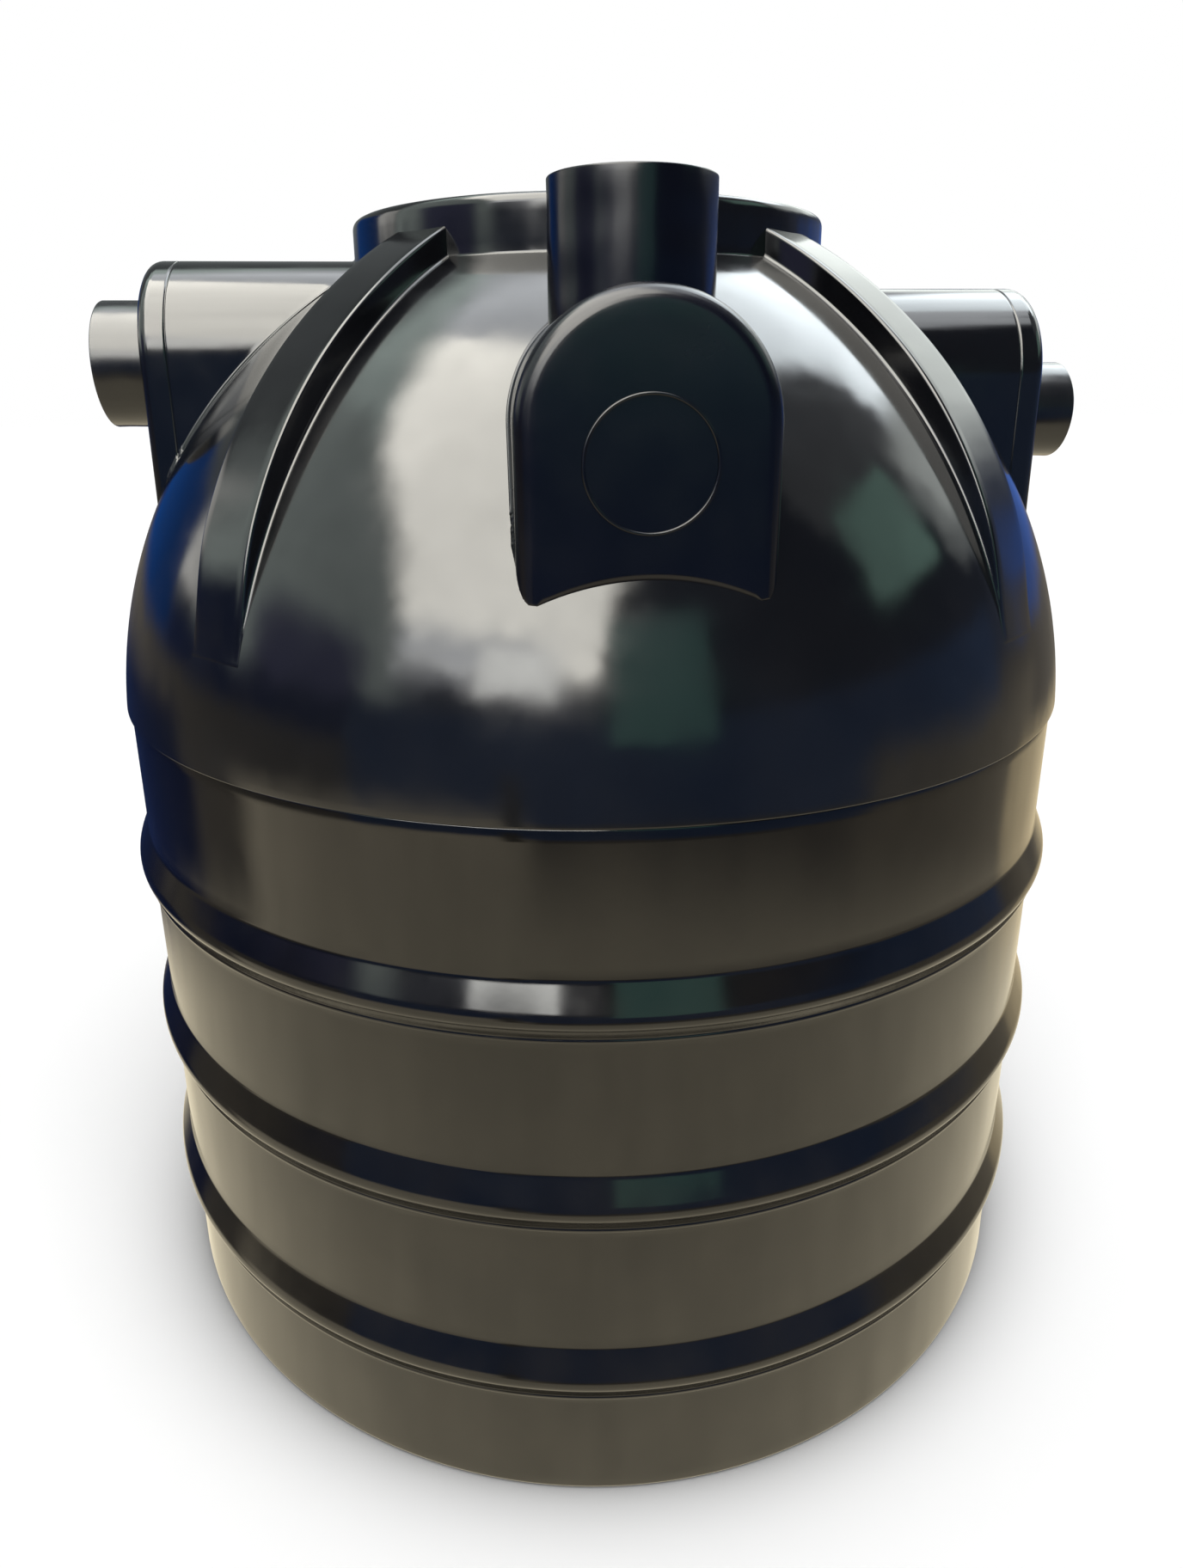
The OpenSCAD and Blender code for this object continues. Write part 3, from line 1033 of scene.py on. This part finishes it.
@dataclass
class EmblemRing:
    """The plain raised ring on the front hood's face, bare inside."""

    finish: Material
    width: float = 2.4
    rise: float = 1.2
    segments: int = 160

    def build(self) -> Piece:
        """Turns a half-round line about the ring's own axis, which points forward.

        Returns:
            The ring piece.
        """
        low, high = box_mm("emblem_ring")
        radius = (high[2] - low[2]) / 2 - self.width / 2
        centre = (low + high) / 2
        turn = np.linspace(0, np.pi, 9)
        line = np.stack([radius + self.width / 2 * np.cos(turn),
                         self.rise * np.sin(turn) - 0.1], -1)
        x, y, z = np.moveaxis(turned(np.vstack([line, line[:1]]), self.segments), -1, 0)
        grid = np.stack([x + centre[0], high[1] - z, y + centre[2]], -1)
        ring = to_object("plain_ring", [(grid, True)])
        return Piece(ring, Slot.HOOD, ("emblem_ring",)).settle(self.finish)


# ---- surroundings


@dataclass(frozen=True)
class Band:
    """One soft-edged rectangle of the surroundings that the gloss mirrors.

    Directions are in degrees: heading from the front (-Y) towards +X, and height over the
    horizon. Glow is what the colour's linear light is multiplied by.
    """

    name: str
    heading: tuple[float, float]
    height: tuple[float, float]
    colour: str
    glow: float
    soft: float = 5.0
    ragged: float = 0.0

    def share(self, sky: "SkyNodes") -> Socket:
        """Returns how far the band covers each direction, from 0 to 1."""
        covered = [self._between(sky.tree, sky.frayed(angle, self.ragged), limits)
                   for angle, limits in ((sky.heading, self.heading), (sky.height, self.height))]
        return calc(sky.tree, "MULTIPLY", *covered)

    def _between(self, tree: Tree, angle: Socket, limits: tuple[float, float]) -> Socket:
        """Returns 1 where an angle lies between two limits, easing to 0 over the soft width."""
        low, high = (radians(limit) for limit in limits)
        half = radians(self.soft) / 2
        rise = ramp(tree, angle, low - half, low + half)
        return calc(tree, "MULTIPLY", rise, ramp(tree, angle, high + half, high - half))


@dataclass(frozen=True)
class Cap:
    """One soft-edged round area of the surroundings, by its middle and angular radius."""

    name: str
    heading: float
    height: float
    radius: float
    colour: str
    glow: float
    soft: float = 8.0
    ragged: float = 0.0

    def share(self, sky: "SkyNodes") -> Socket:
        """Returns how far the cap covers each direction, from 0 to 1."""
        turn, rise = radians(self.heading), radians(self.height)
        axis = (sin(turn) * cos(rise), -cos(turn) * cos(rise), sin(rise))
        dot = add_node(sky.tree, "VectorMath", {"operation": "DOT_PRODUCT"},
                       i0=sky.way, i1=axis)
        away = sky.frayed(calc(sky.tree, "ARCCOSINE", dot.outputs["Value"]), self.ragged)
        outer, inner = (radians(self.radius + s * self.soft / 2) for s in (1, -1))
        return ramp(sky.tree, away, outer, inner)


@dataclass
class SkyNodes:
    """The sockets that every patch of the surroundings reads.

    The noise swings by about 0.2 to both sides of 0, and gain brings that near to 1/2.
    """

    tree: Tree
    way: Socket
    heading: Socket
    height: Socket
    jitter: Socket
    gain: float = 2.5

    @classmethod
    def build(cls, tree: Tree) -> "SkyNodes":
        """Adds the nodes that split a direction into heading and height, and the ragged noise."""
        way = add_node(tree, "TexCoord").outputs["Generated"]
        parts = add_node(tree, "SeparateXYZ", Vector=way)
        x, y, z = parts.outputs
        heading = calc(tree, "ARCTAN2", x, calc(tree, "MULTIPLY", y, -1.0))
        height = calc(tree, "ARCSINE", z)
        noise = add_node(tree, "TexNoise", Vector=way, Scale=9.0, Detail=6.0, Roughness=0.62)
        return cls(tree, way, heading, height, calc(tree, "SUBTRACT", noise.outputs[0], 0.5))

    def frayed(self, angle: Socket, degrees: float) -> Socket:
        """Returns an angle shifted by the noise, so that an edge is ragged over some degrees."""
        sway = calc(self.tree, "MULTIPLY", self.jitter, radians(degrees) * self.gain)
        return calc(self.tree, "ADD", angle, sway)


@dataclass
class Surroundings:
    """White soft light all round, and an overcast yard that only the gloss mirrors.

    Each patch is laid over the ones before it, on a plain blue-grey shade.
    """

    light: float = 0.3
    uneven: float = 0.5
    shade: str = "98a4c4"
    shade_glow: float = 0.38
    patches: tuple[Band | Cap, ...] = (
        # the sky above a ragged line of trees, dimmer behind the tank
        Band("overcast behind", (-400, 400), (30, 120), "f4f8fc", 1.3, 12, 3),
        Band("high overcast", (-400, 400), (57, 120), "f4f8fc", 5.0, 14, 3),
        Band("open sky", (-127, 22), (15.5, 100), "fffcf2", 13.5, 4, 3.5),
        Band("thin cloud low down", (-56, -14), (14, 23), "eceef0", 8.0, 9, 5),
        Band("open sky on the right", (102, 150), (33, 100), "f2fbff", 8.5, 8, 3),
        Band("gap in the trees", (-31, -12), (10.5, 21), "fbfbf6", 12.0, 3, 2),
        # the big things round the yard
        Cap("shaded house in front", 50, 5, 53, "98a8cc", 0.14, 6, 3),
        Cap("grey roof", 84, 42, 19, "dfe4e8", 0.48, 5, 4),
        Cap("grey-green canopy", -128, 0, 61.5, "d3e3dc", 3.4, 7, 2),
        Cap("grey-green canopy low down", -95, 5, 46, "d0dcd6", 2.2, 8, 3),
        Cap("canopy's shaded inside", -151, 8, 44, "c4cccc", 0.4, 9, 3),
        Band("low wall in blue shade", (-88, -58), (0, 18), "a4a6dc", 0.62, 8, 4),
        Band("blue shade near the ground", (-175, -58), (-15, 5), "5878d0", 0.22, 7, 3),
        Band("pale gate", (-121, -107), (7, 22), "f0eee8", 2.6, 4, 3),
        Band("blue sheet", (-152, -121), (-4, 17), "1c5cb4", 0.7, 5, 3),
        Band("grey yard on the right", (97, 200), (16, 34), "e4eae6", 3.0, 8, 5),
        Band("blue sheet on the right", (112, 165), (-10, 7), "5a80d8", 0.9, 6, 4),
        # the ground, bright brown in the open and dark in the shade of what stands in front
        Band("ground in shade", (-400, 400), (-100, -3), "d0c6b6", 0.3, 5, 2),
        Band("navy shade low down in front", (-60, 100), (-19, 6), "5c7cb0", 0.62, 4, 2),
        Band("teal panel", (-1, 22), (1, 28), "8fcabf", 1.35, 2, 1),
        Band("teal panel on the right", (67, 91), (18, 36), "a9d4c4", 2.0, 3, 1.5),
        Band("open ground on the left", (-93, -20), (-100, -15), "dcd0b6", 1.6, 8, 3),
        Band("ground on the right", (58, 118), (-100, -8), "dccfb6", 0.5, 9, 4),
        Band("open ground behind", (112, 400), (-100, -15), "e2cfa8", 1.1, 6, 3),
        Band("dark pole", (-25, -20.5), (-25, -6), "b0a894", 0.3, 3, 1),
        Band("navy shade behind", (-400, -112), (-28, -9), "4a62a8", 0.2, 9, 3),
        Band("near ground", (-400, 400), (-120, -28), "dacfb4", 1.6, 9, 2),
    )

    def build(self) -> None:
        """Writes the world: white to look at, soft for lighting, the patches for mirror rays."""
        world = bpy.data.worlds.new("Overcast yard")
        bpy.context.scene.world = world
        tree = empty_tree(world)
        sky = SkyNodes.build(tree)
        colour: Socket | Colour = self._glow(self.shade, self.shade_glow)
        for patch in self.patches:
            glow = self._glow(patch.colour, patch.glow)
            colour = blend_colour(tree, patch.share(sky), colour, glow)
            colour.node.label = patch.name
        # cloud and ground are uneven, by about a tenth lighter and darker
        strength = calc(tree, "MULTIPLY_ADD", sky.jitter, self.uneven, 1.0)
        white = linear("ffffff")
        plain, open_sky, mirrored = (
            add_node(tree, "Background", Color=tint, Strength=power).outputs[0]
            for tint, power in ((white, self.light), (white, 1.0), (colour, strength)))
        ray = add_node(tree, "LightPath").outputs
        lit = add_node(tree, "MixShader", i0=ray["Is Camera Ray"], i1=plain, i2=open_sky)
        lit = add_node(tree, "MixShader", i0=ray["Is Glossy Ray"], i1=lit.outputs[0], i2=mirrored)
        add_node(tree, "OutputWorld", Surface=lit.outputs[0])

    @staticmethod
    def _glow(code: str, strength: float) -> Colour:
        """Returns a linear colour multiplied by a brightness."""
        red, green, blue, _ = linear(code)
        return (red * strength, green * strength, blue * strength, 1.0)


@dataclass(frozen=True)
class SoftSun:
    """A broad soft light from one direction that the gloss doesn't mirror."""

    name: str
    towards: tuple[float, float, float]
    width: float
    strength: float

    def build(self) -> None:
        """Aims the light: it comes from the given direction, spread over its width in degrees."""
        lamp = bpy.data.lights.new(self.name, "SUN")
        lamp.angle = radians(self.width)
        lamp.energy = self.strength
        hung = add_object(self.name, lamp)
        hung.matrix_world = Vector(self.towards).to_track_quat("Z", "Y").to_matrix().to_4x4()
        hung.visible_glossy = False


@dataclass(frozen=True)
class Studio:
    """The pale floor, the soft light and the camera, in metres and degrees."""

    light: SoftSun = SoftSun("broad light from above", (0.03, -0.3, 1.0), 42.0, 2.5)
    floor_size: float = 40.0
    location: tuple[float, float, float] = (-0.0972, -1.0268, 0.8377)
    heading: float = 5.15
    tilt: float = 16.79
    roll: float = -0.42
    lens: float = 23.86
    shift: tuple[float, float] = (0.0039, -0.06)

    def build(self) -> None:
        """Lays the floor, sets up the camera and keeps colours as they are mixed."""
        half = self.floor_size / 2
        mesh = bpy.data.meshes.new("floor")
        corners = [(-half, -half, 0), (half, -half, 0), (half, half, 0), (-half, half, 0)]
        mesh.from_pydata(corners, [], [(0, 1, 2, 3)])
        floor = add_object("floor", mesh)
        floor.data.materials.append(PaleFloor().make())
        floor.visible_glossy = False
        self.light.build()
        camera = add_object("camera", bpy.data.cameras.new("camera"))
        camera.data.lens = self.lens
        camera.data.shift_x, camera.data.shift_y = self.shift
        camera.data.clip_start = 0.01
        turn = (Matrix.Rotation(radians(-self.heading), 4, "Z")
                @ Matrix.Rotation(radians(90 - self.tilt), 4, "X")
                @ Matrix.Rotation(radians(self.roll), 4, "Z"))
        camera.matrix_world = Matrix.Translation(self.location) @ turn
        bpy.context.scene.camera = camera
        bpy.context.scene.view_settings.view_transform = "Standard"


def main() -> None:
    """Builds the tank's pieces in order, then its surroundings."""
    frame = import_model()
    finishes = Finishes()
    gloss, wall = finishes.gloss.make(), finishes.wall.make()
    satin, pipe = finishes.satin.make(), finishes.pipe.make()
    ball = Ball.from_frame()
    manhole = Manhole(ball, gloss)
    neck_r = manhole.radius
    hoods = [
        Hood(Side.INLET, ball, neck_r, gloss, ("inlet_hood", "inlet_cap"), "inlet_pipe"),
        Hood(Side.OUTLET, ball, neck_r, gloss, ("outlet_hood", "outlet_cap"), "outlet_pipe"),
        Hood(Side.VENT, ball, neck_r, satin, ("vent_hood", "vent_cap")),
    ]
    RibbedBody(wall).build()
    Dome(ball, gloss, hoods, neck_r).build()
    manhole.build()
    for hood in hoods:
        hood.build()
    Pipe("inlet_pipe", Side.INLET, pipe, sunk=20.0).build()
    Pipe("outlet_pipe", Side.OUTLET, pipe, sunk=20.0).build()
    Pipe("vent_pipe", Side.VENT, satin, sunk=60.0).build()
    for node, heading in (("fin_front_left", -90 - FIN_TURN), ("fin_front_right", -90 + FIN_TURN),
                          ("fin_back_left", 90 + FIN_TURN), ("fin_back_right", 90 - FIN_TURN)):
        Fin(node, heading, ball, neck_r, gloss).build()
    EmblemRing(satin).build()
    LOG.info("%d nodes in the frame", len(frame["nodes"]))
    Surroundings().build()
    Studio().build()


if __name__ == "__main__":
    logging.basicConfig(level=logging.INFO, format="%(message)s")
    main()
